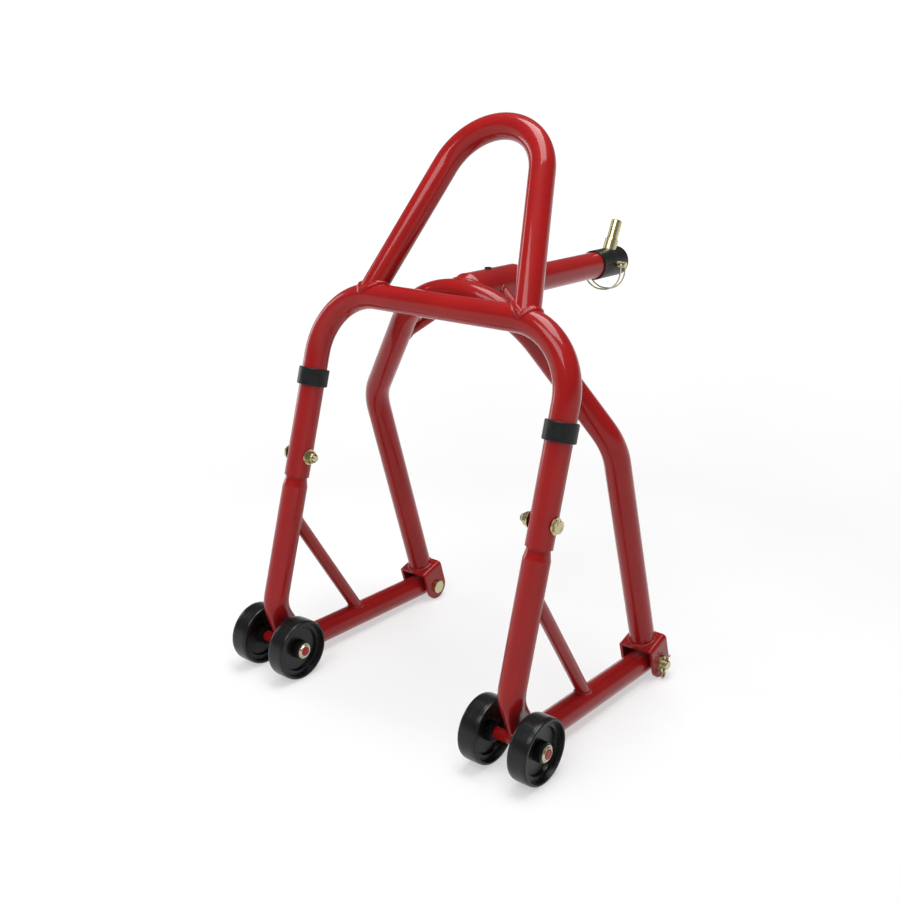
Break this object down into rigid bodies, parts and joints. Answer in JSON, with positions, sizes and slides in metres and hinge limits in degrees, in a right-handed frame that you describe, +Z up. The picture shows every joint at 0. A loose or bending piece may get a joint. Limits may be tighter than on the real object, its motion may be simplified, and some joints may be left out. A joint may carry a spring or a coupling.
{
  "type": "motorcycle front paddock stand",
  "caption": "Wheeled tubular stand that lifts a motorcycle's front end by the steering head: hinged lifting frame with arm and pin, handle loop and twin wheels on each side.",
  "frame": {"origin": "centre of the stand's footprint box, on the floor", "axes": "+Z up, +Y along the lifting arm towards the motorcycle's steering head, X across the stand along the wheel axles"},
  "size_m": [0.455, 0.5078, 0.6651],
  "materials": {
    "red_powder_coat": "gloss powder coat over welded steel tube",
    "black_plastic": "satin moulded plastic",
    "black_rubber": "matte rubber",
    "yellow_zinc": "yellow passivated zinc plate",
    "bright_steel": "bright drawn wire and bright zinc plate",
    "aged_zinc": "dark yellow zinc plate",
    "dark_steel": "black oxide"
  },
  "bodies": {
    "main_frame": {"upper_frame": "red_powder_coat", "handle_loop": "red_powder_coat", "lower_leg_left": "red_powder_coat", "lower_leg_right": "red_powder_coat", "foot_tube_left": "red_powder_coat", "foot_tube_right": "red_powder_coat", "foot_brace_left": "red_powder_coat", "foot_brace_right": "red_powder_coat", "pivot_bush_left": "red_powder_coat", "pivot_bush_right": "red_powder_coat", "stub_axle_left": "red_powder_coat", "stub_axle_right": "red_powder_coat", "rubber_band_left": "black_rubber", "rubber_band_right": "black_rubber", "height_bolt_left": "yellow_zinc", "height_bolt_right": "yellow_zinc", "height_nut_left": "yellow_zinc", "height_nut_right": "yellow_zinc", "nut_insert_left": "black_plastic", "nut_insert_right": "black_plastic", "height_washers_left": "yellow_zinc", "height_washers_right": "yellow_zinc", "axle_retainers_left": "bright_steel", "axle_retainers_right": "bright_steel"},
    "lifting_frame": {"lift_frame_tube": "red_powder_coat", "arm_socket": "red_powder_coat", "arm_tube": "red_powder_coat", "arm_set_screw": "dark_steel", "arm_end_cap": "black_rubber", "headstock_pin": "yellow_zinc", "lock_pin": "yellow_zinc", "clevis_left": "red_powder_coat", "clevis_right": "red_powder_coat", "clevis_pin_left": "yellow_zinc", "clevis_pin_right": "yellow_zinc", "clevis_washer_left": "yellow_zinc", "clevis_washer_right": "yellow_zinc", "split_pin_left": "aged_zinc", "split_pin_right": "aged_zinc", "arm_brace_left": "red_powder_coat", "arm_brace_right": "red_powder_coat"},
    "wheel_left_inner": {"wheel_left_inner": "black_plastic"},
    "wheel_left_outer": {"wheel_left_outer": "black_plastic"},
    "wheel_right_inner": {"wheel_right_inner": "black_plastic"},
    "wheel_right_outer": {"wheel_right_outer": "black_plastic"},
    "lock_bail": {"lock_bail": "bright_steel"}
  },
  "joints": [
    {"name": "lift_pivot", "type": "hinge", "parent": "main_frame", "child": "lifting_frame", "pos_m": [0, 0.06359, 0.018], "axis": [-1, 0, 0], "range_deg": [0, 68]},
    {"name": "wheel_left_inner_spin", "type": "hinge", "parent": "main_frame", "child": "wheel_left_inner", "pos_m": [-0.1466, -0.21641, 0.0375], "axis": [1, 0, 0], "continuous": true},
    {"name": "wheel_left_outer_spin", "type": "hinge", "parent": "main_frame", "child": "wheel_left_outer", "pos_m": [-0.2114, -0.21641, 0.0375], "axis": [1, 0, 0], "continuous": true},
    {"name": "wheel_right_inner_spin", "type": "hinge", "parent": "main_frame", "child": "wheel_right_inner", "pos_m": [0.1466, -0.21641, 0.0375], "axis": [1, 0, 0], "continuous": true},
    {"name": "wheel_right_outer_spin", "type": "hinge", "parent": "main_frame", "child": "wheel_right_outer", "pos_m": [0.2114, -0.21641, 0.0375], "axis": [1, 0, 0], "continuous": true},
    {"name": "bail_swing", "type": "hinge", "parent": "lifting_frame", "child": "lock_bail", "pos_m": [0.0265, 0.22359, 0.47], "axis": [0, -1, 0], "range_deg": [0, 105]}
  ]
}
